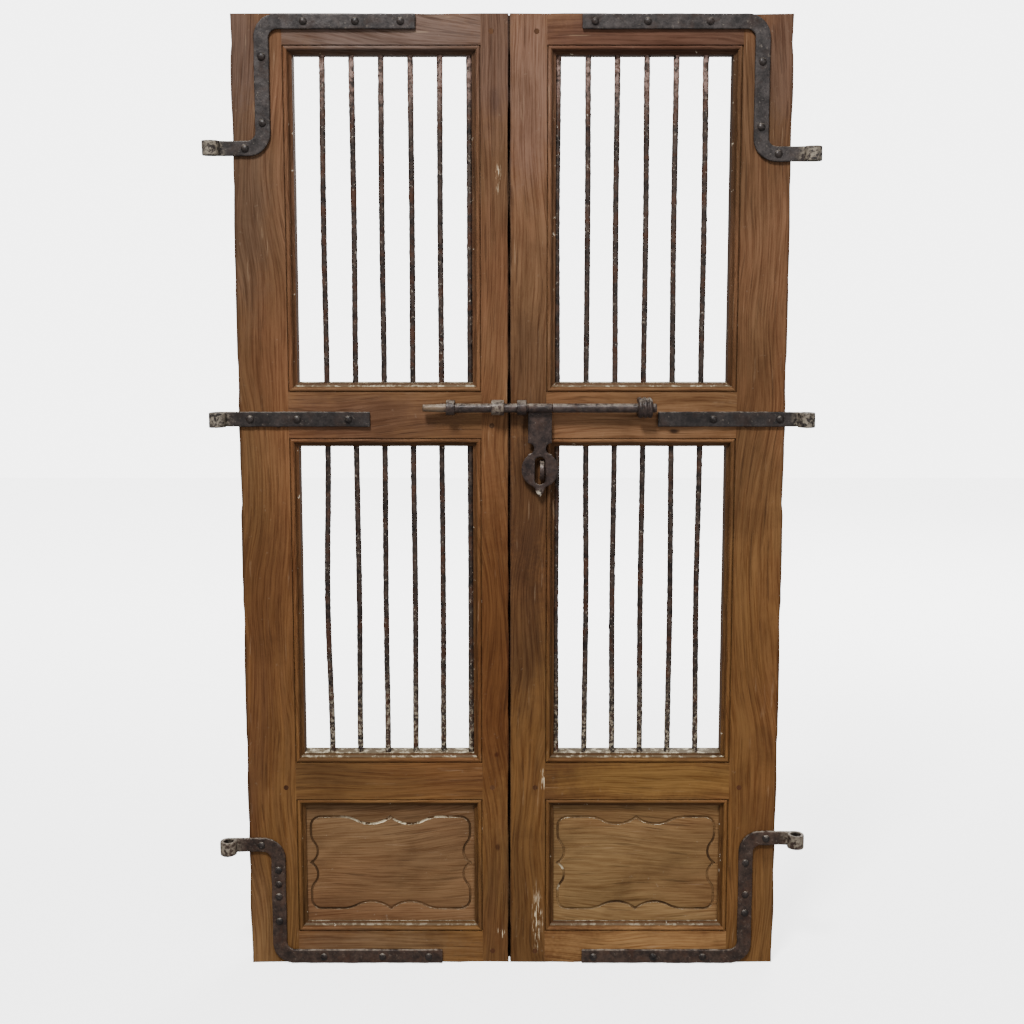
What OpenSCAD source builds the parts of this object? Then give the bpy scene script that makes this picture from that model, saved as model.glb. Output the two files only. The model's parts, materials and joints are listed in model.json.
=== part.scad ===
// Old double-leaf wooden door with barred openings, cranked strap hinges and a slide bolt.
// Millimetres, +X to the viewer's right, -Y towards the viewer, +Z up, bottom edge at z = 0.

/* [Leaves] */
// height of both leaves
door_h = 1700; // [1200:5:2400]
// width of the closed pair, without the hinge eyes
door_w = 960; // [800:2:1400]
// thickness of the frame members
leaf_t = 40; // [34:1:60]
// width of the left leaf
left_leaf_w = 474; // [390:1:700]
// gap between the two leaves
seam_gap = 2; // [1:0.5:8]
// how far the left leaf's lip laps behind the right leaf
lap_w = 8; // [4:1:12]
// clearance of the lip in the right leaf's rebate
lap_play = 1; // [0.5:0.5:3]

/* [Stiles] */
// flat face of the left hanging stile
left_hang_w = 88; // [70:1:120]
// flat face of the left meeting stile
left_meet_w = 47.5; // [46:0.5:90]
// flat face of the right meeting stile
right_meet_w = 64; // [62:0.5:100]
// flat face of the right hanging stile
right_hang_w = 86; // [70:1:120]

/* [Rails] */
// flat face of the bottom rail
bottom_rail_h = 60; // [50:1:140]
// height of the panel opening, flat to flat
panel_open_h = 253; // [220:1:420]
// flat face of the lower rail
lower_rail_h = 68; // [56:1:140]
// height of the lower barred opening, flat to flat
lower_open_h = 593; // [350:1:760]
// flat face of the middle rail
middle_rail_h = 81; // [78:1:140]
// flat face of the top rail
top_rail_h = 52; // [48:1:120]

/* [Sticking] */
// width of the moulded edge round each opening
stick_w = 15.5; // [14:0.5:22]
// quirk between the flat and the bead
quirk_w = 1.2; // [0.8:0.1:2]
// radius of the bead
bead_r = 3.6; // [2.5:0.1:4]
// radius of the cove
cove_r = 6.5; // [4:0.5:7.5]

/* [Joints in the wood] */
// thickness of the tenons
tenon_t = 12; // [8:1:16]
// length of the tenons
tenon_len = 36; // [24:1:44]
// shoulder above and below each tenon
tenon_shoulder = 8; // [4:1:14]
// diameter of the tenon pegs
peg_d = 9; // [6:0.5:12]
// height of a peg above the foot of its rail's face
peg_rise = 22; // [16:1:30]
// clearance of a tenon, peg, nail or staple leg in its hole
wood_play = 0.1; // [0.05:0.05:0.3]

/* [Panel] */
// thickness of the panel board
panel_t = 12; // [8:1:16]
// depth of the panel's face behind the frame's face
panel_set = 14; // [11:1:18]
// depth of the panel's edge in the grooves
panel_tongue = 7; // [4:0.5:9]
// room left for the panel to swell in the groove
panel_swell = 0.8; // [0.3:0.1:1.5]

/* [Cartouche] */
// room between the cartouche and the moulding at its sides
cart_side = 8; // [6:0.5:30]
// room between the cartouche and the moulding above and below it
cart_above = 23; // [10:1:40]
// radius of the cartouche's corners
cart_corner_r = 18; // [10:1:24]
// half width of the notch in the long sides, as a share of their length
cart_long_half = 0.124; // [0.07:0.001:0.14]
// depth of the notch in the long sides, as a share of its half width
cart_long_dip = 0.38; // [0.2:0.01:0.55]
// half width of the notch in the short sides, as a share of their length
cart_short_half = 0.125; // [0.08:0.001:0.14]
// depth of the notch in the short sides, as a share of its half width
cart_short_dip = 0.545; // [0.2:0.005:0.6]
// width of the incised line
cart_line_w = 4; // [2:0.2:5]
// depth of the incised line
cart_line_d = 2; // [1:0.2:3]

/* [Bars] */
// diameter of the bars
bar_d = 9; // [7:0.5:14]
// room between the last left bar and the hanging stile, in bar spacings
left_bar_room = 0.905; // [0.5:0.005:1]
// room between the last right bar and the hanging stile, in bar spacings
right_bar_room = 0.816; // [0.5:0.002:1]
// room between the first bar and the meeting stile
bar_side_gap = 0.3; // [0.2:0.1:12]
// depth of the bar ends in the rails
bar_socket = 28; // [20:1:40]
// clearance round a bar in its hole
bar_play = 0.1; // [0.05:0.05:0.4]

/* [Straps] */
// width of the straps
strap_w = 26; // [20:1:30]
// thickness of the straps
strap_t = 6; // [4:0.5:8]
// middle radius of the cranks
strap_bend_r = 27; // [18:1:34]
// hole of the rolled eyes, radius
eye_r = 9; // [6:0.5:12]
// distance of the eye axis outside the leaf
eye_out = 34; // [28:1:44]
// drop of the upper left arm below the leaf's top edge
upper_left_drop = 226; // [200:1:300]
// drop of the upper right arm below the leaf's top edge
upper_right_drop = 235; // [200:1:300]
// rise of the middle straps above the foot of the middle rail
middle_strap_rise = 34; // [16:1:36]
// height of the lower left arm
lower_left_arm_z = 228; // [190:1:260]
// height of the lower right arm
lower_right_arm_z = 241; // [190:1:260]
// inset of the cranked legs from the leaf's top and bottom edge
strap_inset = 1; // [0.5:0.5:6]
// distance of the upright legs from the eye axis
post_reach = 88; // [84:1:100]
// distance of the upper left leg's end from the leaf's meeting edge
upper_left_end = 158; // [100:1:220]
// distance of the upper right leg's end from the leaf's meeting edge
upper_right_end = 123; // [100:1:220]
// length of the middle left strap past its last nail
middle_left_end = 38; // [12:1:60]
// room between the middle right strap and the coiled guide
strap_guide_gap = 11; // [4:1:40]
// distance of the lower left leg's end from the leaf's meeting edge
lower_left_end = 122; // [100:1:220]
// distance of the lower right leg's end from the leaf's meeting edge
lower_right_end = 132; // [100:1:220]

/* [Nails] */
// diameter of the nail shanks
nail_d = 5; // [3:0.5:7]
// length of the nail shanks in the wood
nail_len = 30; // [20:1:32]
// diameter of the nail heads
nail_head_d = 15; // [9:0.5:18]
// height of the domed nail heads
nail_head_h = 4; // [2:0.5:5]
// distance of the middle left strap's outer nail from the leaf's edge
left_nail_edge = 21; // [10:1:40]
// distance of the middle right strap's outer nail from the leaf's edge
right_nail_edge = 10; // [8:1:40]

/* [Bolt] */
// diameter of the bolt rod
rod_d = 16; // [12:0.5:17]
// rise of the rod axis above the foot of the middle rail
rod_rise = 55; // [52:1:60]
// distance of the rod axis in front of the leaves
rod_out = 18; // [16:0.5:20]
// reach of the rod over the left leaf
rod_reach = 150; // [134:1:150]
// length of the rod to the right of the coiled guide's left side
rod_tail = 33; // [30:1:80]
// length of the tapered tip
rod_tip_len = 44; // [20:1:50]
// diameter at the end of the tip
rod_tip_d = 12; // [5:0.5:12]
// clearance of the rod in its keepers, guides and hasp
rod_play = 0.5; // [0.3:0.1:1]
// thickness of the keeper and guide bands
band_t = 4; // [3:0.5:5]
// depth of the band legs in the wood
band_leg = 12; // [8:1:13]
// width of the end keeper
end_keeper_w = 15; // [10:1:24]
// distance of the end keeper from the left leaf's edge
end_keeper_edge = 94; // [80:1:97]
// width of the seam keeper
seam_keeper_w = 22; // [14:1:22]
// distance of the seam keeper from the left leaf's edge
seam_keeper_edge = 8; // [8:0.5:9]
// width of the seam guide
seam_guide_w = 16; // [10:1:16]
// distance of the seam guide from the right leaf's edge
seam_guide_edge = 13; // [10:1:13]
// wire diameter of the coiled end guide
coil_d = 9; // [6:0.5:10]
// turns of the coiled end guide
coil_turns = 3; // [2:1:3]
// place of the coiled end guide across the right leaf, as a share of its width
end_guide_share = 0.4607; // [0.44:0.0001:0.47]
// room between the hasp and the coiled guide when the bolt is drawn
bolt_stop = 7; // [1:0.2:40]

/* [Hasp] */
// distance of the hasp's middle from the right leaf's edge
hasp_edge = 53; // [52:0.5:54]
// width of the hasp's plate and eye
hasp_w = 42; // [30:1:44]
// thickness of the hasp
hasp_t = 4; // [3:0.5:5]
// length of the plate below the rod axis
hasp_plate_len = 60; // [45:1:64]
// width of the neck
hasp_neck_w = 21; // [14:1:26]
// distance of the shield's middle below the rod axis
hasp_shield_drop = 109; // [105:1:116]
// greatest width of the shield
hasp_shield_w = 65; // [50:1:70]
// length of the shield's point below its middle
hasp_point_len = 49; // [40:1:60]
// width of the slot
hasp_slot_w = 18; // [16:1:20]
// radius of the hollows beside the neck
hasp_hollow_r = 9.5; // [7:0.5:11]
// length of the slot
hasp_slot_len = 49; // [44:1:52]
// thickness of the hasp's knuckle, which lies flush round a journal of the rod
knuckle_t = 2.5; // [2:0.1:3]
// end play of the knuckle on the journal
knuckle_play = 0.4; // [0.2:0.1:1]
// width of the waist above the shield's tip
hasp_waist_w = 14; // [10:1:20]
// radius of the hollow flanks beside the waist
hasp_flank_r = 12; // [8:1:16]
// width of the hasp staple
staple_w = 8; // [6:0.5:8]
// outer radius of the hasp staple
staple_r = 17; // [15:0.5:18]
// how far the staple's nose stands out of the hasp
staple_nose = 12; // [8:0.5:12]
// bar thickness of the hasp staple
staple_t = 5; // [4:0.5:6]
// depth of the hasp staple's legs in the wood
staple_leg = 24; // [14:1:30]
// room between the staple and the right side of the slot
staple_side = 1.2; // [0.8:0.1:1.5]

/* [Hidden] */
$fn = 48;
eps = 0.01;
wood_l = [0.40, 0.28, 0.19];
wood_r = [0.48, 0.34, 0.22];
panel_c = [0.43, 0.32, 0.21];
peg_c = [0.36, 0.25, 0.16];
iron_c = [0.25, 0.22, 0.21];
bar_c = [0.23, 0.19, 0.17];
worn_c = [0.33, 0.30, 0.28];
eye_R = eye_r + strap_t;
eye_x = door_w / 2 + eye_out;
rod_r = rod_d / 2;
band_r = rod_r + rod_play;
front = max(2 * eye_R, rod_out + band_r + max(band_t, coil_d));
y_face = front - (front + leaf_t) / 2;
y_mid = y_face + leaf_t / 2;
z_bottom = bottom_rail_h;
z_panel = z_bottom + panel_open_h;
z_lower = z_panel + lower_rail_h;
z_middle0 = z_lower + lower_open_h;
z_middle1 = z_middle0 + middle_rail_h;
z_top = door_h - top_rail_h;
panel_zone = [z_bottom, z_panel];
lower_zone = [z_lower, z_middle0];
upper_zone = [z_middle1, z_top];
left_edge_x = -door_w / 2 + left_leaf_w;
right_leaf_x = left_edge_x + seam_gap;
bars = 6;
upper_left_arm_z = door_h - upper_left_drop;
upper_right_arm_z = door_h - upper_right_drop;
middle_strap_z = z_middle0 + middle_strap_rise;
upper_left_reach = left_edge_x + eye_x - upper_left_end;
lower_left_reach = left_edge_x + eye_x - lower_left_end;
upper_right_reach = eye_x - right_leaf_x - upper_right_end;
lower_right_reach = eye_x - right_leaf_x - lower_right_end;
upper_leg_z = door_h - strap_inset - strap_w / 2;
lower_leg_z = strap_inset + strap_w / 2;
rod_y = y_face - rod_out;
rod_z = z_middle0 + rod_rise;
rod_left_x = left_edge_x - rod_reach;
end_keeper_x = left_edge_x - end_keeper_edge - end_keeper_w;
seam_keeper_x = left_edge_x - seam_keeper_edge - seam_keeper_w;
seam_guide_x = right_leaf_x + seam_guide_edge;
end_guide_x = right_leaf_x + end_guide_share * (door_w / 2 - right_leaf_x);
rod_right_x = end_guide_x + rod_tail;
hasp_x = right_leaf_x + hasp_edge;
journal_r = rod_r - knuckle_t - rod_play;
shield_R = hasp_shield_w / 2;
flank_x = hasp_waist_w / 2 + hasp_flank_r;
flank_z = sqrt(pow(shield_R + hasp_flank_r - 0.4, 2) - pow(flank_x, 2));
flank_k = (shield_R - 1) / (shield_R + hasp_flank_r);
staple_x = hasp_x + hasp_slot_w / 2 - staple_side - staple_w;
slot_z = rod_z - hasp_shield_drop - 2;
staple_out = rod_out - rod_r + hasp_t + staple_nose - staple_r;
coil_pitch = 0.94 * coil_d;
coil_len = coil_d + (coil_turns - 1) * coil_pitch;
middle_right_reach = eye_x - end_guide_x - coil_len - strap_guide_gap;
bolt_travel = end_guide_x - hasp_x - hasp_w / 2 - bolt_stop;
cart_h = panel_open_h - 2 * stick_w - 2 * cart_above;

// leaf 0 is the left one, leaf 1 the right one
function leaf_x0(i) = i == 0 ? -door_w / 2 : right_leaf_x;
function leaf_x1(i) = i == 0 ? -door_w / 2 + left_leaf_w : door_w / 2;
function flat_x0(i) = leaf_x0(i) + (i == 0 ? left_hang_w : right_meet_w);
function flat_x1(i) = leaf_x1(i) - (i == 0 ? left_meet_w : right_hang_w);
function clear_w(i) = flat_x1(i) - flat_x0(i) - 2 * stick_w;
function bar_pitch(i) = (clear_w(i) - bar_d - bar_side_gap) / (bars - 1 + (i == 0 ? left_bar_room : right_bar_room));
function bar_x(i, k) = let (d = stick_w + bar_d / 2 + bar_side_gap + k * bar_pitch(i))
    i == 0 ? flat_x1(0) - d : flat_x0(1) + d;
function middle_left_nail_x() = bar_x(0, 4) - 0.22 * bar_pitch(0);
function cart_w(i) = clear_w(i) - 2 * cart_side;
// radius of the arc that spans half width h with rise c
function arc_r(h, c) = (h * h + c * c) / (2 * c);

// moulded edge, u across from the flat, depth from the face
module stick_profile() {
    difference() {
        union() {
            translate([0, bead_r]) square([stick_w, leaf_t - bead_r]);
            translate([quirk_w + bead_r, bead_r]) circle(bead_r);
        }
        translate([stick_w, bead_r]) circle(cove_r);
    }
}

// one side of an opening's sticking, mitred at both ends
module stick(len) {
    intersection() {
        linear_extrude(len) stick_profile();
        translate([0, leaf_t + 1, 0]) rotate([90, 0, 0]) linear_extrude(leaf_t + 2)
            polygon([[0, 0], [stick_w, stick_w], [stick_w, len - stick_w], [0, len]]);
    }
}

// block given by two corners in X and Z and two depths behind the face
module block(x0, x1, z0, z1, d0, d1) {
    translate([x0, y_face + d0, z0]) cube([x1 - x0, d1 - d0, z1 - z0]);
}

// tenon of leaf i at its left or right end, or its mortise when grow is above 0
module tenon(i, right, z0, z1, grow) {
    d0 = (leaf_t - tenon_t) / 2;
    x0 = right ? flat_x1(i) - (grow > 0 ? 0 : 1) : flat_x0(i) - tenon_len - grow;
    x1 = right ? flat_x1(i) + tenon_len + grow : flat_x0(i) + (grow > 0 ? 0 : 1);
    block(x0, x1, z0 + tenon_shoulder - grow, z1 - tenon_shoulder + grow, d0 - grow, d0 + tenon_t + grow);
}

module rail_mortises(i, right) {
    tenon(i, right, 0, z_bottom, wood_play);
    tenon(i, right, z_panel, z_lower, wood_play);
    tenon(i, right, z_middle0, z_middle1, wood_play);
    tenon(i, right, z_top, door_h, wood_play);
}

module panel_board(i, grow) {
    side = stick_w - panel_tongue - (grow ? panel_swell : 0);
    play = grow ? wood_play : 0;
    block(flat_x0(i) + side, flat_x1(i) - side, z_bottom + side, z_panel - side,
        panel_set - play, panel_set + panel_t + play);
}

// all pegs of one leaf, or their holes
module pegs(i, play) {
    for (z0 = [0, z_panel, z_middle0, z_top], x = [flat_x0(i) - tenon_len / 2, flat_x1(i) + tenon_len / 2])
        translate([x, y_face, z0 + peg_rise]) rotate([-90, 0, 0]) cylinder(leaf_t, d = peg_d + 2 * play);
}

// places a child at each nail of a cranked strap, by shares of its arm, its upright and its reach
module on_nails(i, arm_z, leg_z, reach, arm_nails, post_nails, leg_nails) {
    s = i == 0 ? 1 : -1;
    for (p = arm_nails) translate([s * (p * post_reach - eye_x), y_face, arm_z]) children();
    for (q = post_nails) translate([s * (post_reach - eye_x), y_face, arm_z + q * (leg_z - arm_z)]) children();
    for (p = leg_nails) translate([s * (p * reach - eye_x), y_face, leg_z]) children();
}

module upper_left_at() on_nails(0, upper_left_arm_z, upper_leg_z, upper_left_reach,
    [0.648], [0.203, 0.722], [0.457, 0.709, 0.929]) children();
module upper_right_at() on_nails(1, upper_right_arm_z, upper_leg_z, upper_right_reach,
    [0.659], [0.204, 0.697], [0.451, 0.719, 0.944]) children();
module lower_left_at() on_nails(0, lower_left_arm_z, lower_leg_z, lower_left_reach,
    [0.659], [0.22, 0.346, 0.458, 0.678], [0.435, 0.715, 0.935]) children();
module lower_right_at() on_nails(1, lower_right_arm_z, lower_leg_z, lower_right_reach,
    [0.591], [0.203, 0.471, 0.626], [0.425, 0.661, 0.946]) children();

// the middle straps' nails go into the hanging stiles and between the bars
module middle_left_at() {
    for (x = [leaf_x0(0) + left_nail_edge, flat_x0(0) + stick_w, middle_left_nail_x()])
        translate([x, y_face, middle_strap_z]) children();
}
module middle_right_at() {
    for (x = [leaf_x1(1) - right_nail_edge, bar_x(1, 5) + 0.4 * bar_pitch(1)])
        translate([x, y_face, middle_strap_z]) children();
}

module leaf_nail_holes(i) {
    if (i == 0) {
        upper_left_at() nail_hole();
        middle_left_at() nail_hole();
        lower_left_at() nail_hole();
    } else {
        upper_right_at() nail_hole();
        middle_right_at() nail_hole();
        lower_right_at() nail_hole();
    }
}

module nail_hole() {
    translate([0, -strap_t - 1, 0]) rotate([-90, 0, 0])
        cylinder(strap_t + 1 + nail_len + 1, d = nail_d + 2 * wood_play);
}

module nail() {
    head_r = arc_r(nail_head_d / 2, nail_head_h);
    translate([0, -strap_t, 0]) rotate([-90, 0, 0]) cylinder(strap_t + nail_len, d = nail_d);
    translate([0, -strap_t, 0]) rotate([90, 0, 0]) rotate_extrude()
        intersection() {
            translate([0, nail_head_h - head_r]) circle(head_r);
            square([nail_head_d, nail_head_h]);
        }
}

// legs of every band and staple of one leaf, as holes in the wood
module iron_holes(i) {
    if (i == 0) {
        band_legs(end_keeper_x, end_keeper_w, wood_play);
        band_legs(seam_keeper_x, seam_keeper_w, wood_play);
    } else {
        band_legs(seam_guide_x, seam_guide_w, wood_play);
        coil_legs(wood_play);
        staple_legs(wood_play);
    }
}

module stile(i, right) {
    x0 = right ? flat_x1(i) : leaf_x0(i);
    x1 = right ? leaf_x1(i) : flat_x0(i);
    difference() {
        union() {
            block(x0, x1, 0, door_h, 0, leaf_t);
            if (i == 0 && right) block(x1 - 1, right_leaf_x + lap_w, 0, door_h, (leaf_t + lap_play) / 2, leaf_t);
            for (zone = [panel_zone, lower_zone, upper_zone])
                translate([right ? x0 : x1, y_face, zone[0]]) mirror([right ? 1 : 0, 0, 0]) stick(zone[1] - zone[0]);
        }
        if (i == 1 && !right) block(x0 - 1, x0 + lap_w + lap_play, -1, door_h + 1, (leaf_t - lap_play) / 2, leaf_t + 1);
        rail_mortises(i, right);
        panel_board(i, true);
        pegs(i, wood_play);
        leaf_nail_holes(i);
        iron_holes(i);
    }
}

// rail of leaf i between two heights, with sticking above or below where an opening is
module rail(i, z0, z1, below, above) {
    w = flat_x1(i) - flat_x0(i);
    difference() {
        union() {
            block(flat_x0(i), flat_x1(i), z0, z1, 0, leaf_t);
            tenon(i, false, z0, z1, 0);
            tenon(i, true, z0, z1, 0);
            if (above) translate([flat_x0(i), y_face, z1]) mirror([1, 0, -1]) stick(w);
            if (below) translate([flat_x0(i), y_face, z0]) mirror([0, 0, 1]) mirror([1, 0, -1]) stick(w);
        }
        panel_board(i, true);
        pegs(i, wood_play);
        leaf_nail_holes(i);
        iron_holes(i);
        for (k = [0:bars - 1]) bar_shape(i, k, bar_play);
    }
}

module bar_shape(i, k, play) {
    z0 = z_lower + stick_w - bar_socket;
    z1 = z_top - stick_w + bar_socket;
    translate([bar_x(i, k), y_mid, z0]) cylinder(z1 - z0, d = bar_d + 2 * play);
}

// half of one side of the cartouche as [x, y, normal x, normal y]: a cusp at the origin,
// a notch below the line, and the swing back up to the line
function half_side(half, dip) =
    let (r = arc_r(half, dip), a = acos(1 - dip / 2 / r), t0 = atan2(dip - r, -half), run = half + 2 * r * sin(a))
    concat(
        [[0, 0, 0, -1 / sin(t0)]],
        [for (k = [1:8]) let (t = t0 + (a - 90 - t0) * k / 8)
            [half + r * cos(t), r - dip + r * sin(t), -cos(t), -sin(t)]],
        [for (k = [1:4]) let (t = 90 + a - a * k / 4) [run + r * cos(t), -r + r * sin(t), cos(t), sin(t)]]);

// quarter of the cartouche from the top cusp round the corner to the side cusp
function quarter(w) =
    let (x = w / 2, y = cart_h / 2, c = cart_corner_r, m = w * cart_long_half, n = cart_h * cart_short_half,
        side = half_side(n, n * cart_short_dip))
    concat(
        [for (p = half_side(m, m * cart_long_dip)) [p[0], y + p[1], p[2], p[3]]],
        [for (t = [90:-15:0]) [x - c + c * cos(t), y - c + c * sin(t), cos(t), sin(t)]],
        [for (k = [len(side) - 1:-1:0]) let (p = side[k]) [x + p[1], p[0], p[3], p[2]]]);

function turned(pts, sx, sy) = [for (p = pts) [sx * p[0], sy * p[1], sx * p[2], sy * p[3]]];
function backwards(pts) = [for (k = [len(pts) - 2:-1:0]) pts[k]];
function tail(pts) = [for (k = [1:len(pts) - 1]) pts[k]];
function loop(q) = concat(q, turned(backwards(q), 1, -1), turned(tail(q), -1, -1),
    [for (k = [len(q) - 2:-1:1]) [-q[k][0], q[k][1], -q[k][2], q[k][3]]]);
function grown(pts, d) = [for (p = pts) [p[0] + d * p[2], p[1] + d * p[3]]];

// incised line of the cartouche in the panel's own plane
module cartouche_cut(w) {
    line = loop(quarter(w));
    translate([0, 0, -cart_line_d]) linear_extrude(cart_line_d + 1) difference() {
        polygon(grown(line, cart_line_w / 2));
        polygon(grown(line, -cart_line_w / 2));
    }
}

module panel(i) {
    difference() {
        panel_board(i, false);
        translate([(flat_x0(i) + flat_x1(i)) / 2, y_face + panel_set, (z_bottom + z_panel) / 2]) rotate([90, 0, 0])
            cartouche_cut(cart_w(i));
    }
}

// quarter of a crank in the strap's own plane
module crank2d(qx, qy) {
    far = strap_bend_r + strap_w;
    intersection() {
        difference() {
            circle(strap_bend_r + strap_w / 2);
            circle(strap_bend_r - strap_w / 2);
        }
        translate([qx < 0 ? -far : 0, qy < 0 ? -far : 0]) square(far);
    }
}

// flat outline of a cranked strap: arm from the eye, upright leg, long leg
module cranked2d(rise, reach) {
    b = strap_bend_r;
    translate([3, -strap_w / 2]) square([post_reach - b - 3, strap_w]);
    translate([post_reach - b, b]) crank2d(1, -1);
    translate([post_reach - strap_w / 2, b]) square([strap_w, rise - 2 * b]);
    translate([post_reach + b, rise - b]) crank2d(-1, 1);
    translate([post_reach + b, rise - strap_w / 2]) square([reach - post_reach - b, strap_w]);
}

module straight2d(reach) {
    translate([3, -strap_w / 2]) square([reach - 3, strap_w]);
}

// strap of leaf i, its flat on the wood and its eye rolled out to the front
module strap(i, arm_z, leg_z, reach) {
    rise = abs(leg_z - arm_z);
    translate([i == 0 ? -eye_x : eye_x, y_face, arm_z]) mirror([i, 0, 0]) {
        rotate([90, 0, 0]) linear_extrude(strap_t) mirror([0, leg_z < arm_z ? 1 : 0])
            if (rise > 0) cranked2d(rise, reach);
            else straight2d(reach);
        translate([0, -eye_R, -strap_w / 2]) difference() {
            cylinder(strap_w, r = eye_R);
            translate([0, 0, -1]) cylinder(strap_w + 2, r = eye_r);
        }
    }
}

// half ring on the front of the rod, seen along the rod
module half_band2d(r, t) {
    intersection() {
        difference() {
            circle(r + t);
            circle(r);
        }
        translate([-2 * r - t, -2 * r - t]) square([2 * r + t, 4 * r + 2 * t]);
    }
}

module band(x, w) {
    translate([x, rod_y, rod_z]) rotate([90, 0, 90]) linear_extrude(w) {
        half_band2d(band_r, band_t);
        for (s = [-band_r - band_t, band_r]) translate([0, s]) square([rod_out + band_leg, band_t]);
    }
}

module band_legs(x, w, play) {
    for (s = [-band_r - band_t, band_r])
        translate([x - play, rod_y, rod_z + s - play]) cube([w + 2 * play, rod_out + band_leg + play, band_t + 2 * play]);
}

module coil_legs(play) {
    r = band_r + coil_d / 2;
    for (k = [0:coil_turns - 1], s = [-r, r])
        translate([end_guide_x + coil_d / 2 + k * coil_pitch, rod_y, rod_z + s]) rotate([-90, 0, 0])
            cylinder(rod_out + band_leg + play, d = coil_d + 2 * play);
}

module staple_legs(play) {
    for (s = [-staple_r, staple_r - staple_t])
        translate([staple_x - play, y_face - staple_out, slot_z + s - play])
            cube([staple_w + 2 * play, staple_out + staple_leg + play, staple_t + 2 * play]);
}

// outline of the hasp below the rod axis
module hasp2d() {
    shoulder = hasp_shield_drop - sqrt(pow(shield_R, 2) - pow(hasp_w / 2, 2));
    difference() {
        union() {
            translate([-hasp_w / 2, -hasp_plate_len]) square([hasp_w, hasp_plate_len - journal_r]);
            difference() {
                translate([-hasp_w / 2, -shoulder - 1]) square([hasp_w, shoulder + 2 - hasp_plate_len]);
                for (s = [-1, 1]) translate([s * (hasp_neck_w / 2 + hasp_hollow_r),
                    -(hasp_plate_len + shoulder) / 2]) circle(hasp_hollow_r);
            }
            translate([0, -hasp_shield_drop]) {
                circle(shield_R);
                difference() {
                    polygon([[-flank_k * flank_x, -flank_k * flank_z], [flank_k * flank_x, -flank_k * flank_z],
                        [hasp_waist_w / 2, -flank_z], [-hasp_waist_w / 2, -flank_z]]);
                    for (s = [-1, 1]) translate([s * flank_x, -flank_z]) circle(hasp_flank_r);
                }
                translate([0, -flank_z]) polygon([[-hasp_waist_w / 3, 2], [hasp_waist_w / 3, 2],
                    [hasp_waist_w / 2, 0], [0, flank_z - hasp_point_len], [-hasp_waist_w / 2, 0]]);
            }
        }
        translate([0, slot_z - rod_z]) {
            square([hasp_slot_w, hasp_slot_len - hasp_slot_w], center = true);
            for (s = [-1, 1]) translate([0, s * (hasp_slot_len - hasp_slot_w) / 2]) circle(d = hasp_slot_w);
        }
    }
}

// wood of the left leaf
module left_hanging_stile() color(wood_l) stile(0, false);
module left_meeting_stile() color(wood_l) stile(0, true);
module left_top_rail() color(wood_l) rail(0, z_top, door_h, true, false);
module left_middle_rail() color(wood_l) rail(0, z_middle0, z_middle1, true, true);
module left_lower_rail() color(wood_l) rail(0, z_panel, z_lower, true, true);
module left_bottom_rail() color(wood_l) rail(0, 0, z_bottom, false, true);
module left_panel() color(panel_c) panel(0);
module left_tenon_pegs() color(peg_c) pegs(0, 0);

// wood of the right leaf
module right_hanging_stile() color(wood_r) stile(1, true);
module right_meeting_stile() color(wood_r) stile(1, false);
module right_top_rail() color(wood_r) rail(1, z_top, door_h, true, false);
module right_middle_rail() color(wood_r) rail(1, z_middle0, z_middle1, true, true);
module right_lower_rail() color(wood_r) rail(1, z_panel, z_lower, true, true);
module right_bottom_rail() color(wood_r) rail(1, 0, z_bottom, false, true);
module right_panel() color(panel_c) panel(1);
module right_tenon_pegs() color(peg_c) pegs(1, 0);

// bars, counted from the meeting stiles
module left_bar_1() color(bar_c) bar_shape(0, 0, 0);
module left_bar_2() color(bar_c) bar_shape(0, 1, 0);
module left_bar_3() color(bar_c) bar_shape(0, 2, 0);
module left_bar_4() color(bar_c) bar_shape(0, 3, 0);
module left_bar_5() color(bar_c) bar_shape(0, 4, 0);
module left_bar_6() color(bar_c) bar_shape(0, 5, 0);
module right_bar_1() color(bar_c) bar_shape(1, 0, 0);
module right_bar_2() color(bar_c) bar_shape(1, 1, 0);
module right_bar_3() color(bar_c) bar_shape(1, 2, 0);
module right_bar_4() color(bar_c) bar_shape(1, 3, 0);
module right_bar_5() color(bar_c) bar_shape(1, 4, 0);
module right_bar_6() color(bar_c) bar_shape(1, 5, 0);

// straps and their nails
module upper_left_strap() color(iron_c) difference() {
    strap(0, upper_left_arm_z, upper_leg_z, upper_left_reach);
    upper_left_at() nail_hole();
}
module upper_right_strap() color(iron_c) difference() {
    strap(1, upper_right_arm_z, upper_leg_z, upper_right_reach);
    upper_right_at() nail_hole();
}
module middle_left_strap() color(iron_c) difference() {
    strap(0, middle_strap_z, middle_strap_z, eye_x + middle_left_nail_x() + middle_left_end);
    middle_left_at() nail_hole();
}
module middle_right_strap() color(iron_c) difference() {
    strap(1, middle_strap_z, middle_strap_z, middle_right_reach);
    middle_right_at() nail_hole();
}
module lower_left_strap() color(iron_c) difference() {
    strap(0, lower_left_arm_z, lower_leg_z, lower_left_reach);
    lower_left_at() nail_hole();
}
module lower_right_strap() color(iron_c) difference() {
    strap(1, lower_right_arm_z, lower_leg_z, lower_right_reach);
    lower_right_at() nail_hole();
}
module upper_left_nails() color(iron_c) upper_left_at() nail();
module upper_right_nails() color(iron_c) upper_right_at() nail();
module middle_left_nails() color(iron_c) middle_left_at() nail();
module middle_right_nails() color(iron_c) middle_right_at() nail();
module lower_left_nails() color(iron_c) lower_left_at() nail();
module lower_right_nails() color(iron_c) lower_right_at() nail();

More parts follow.
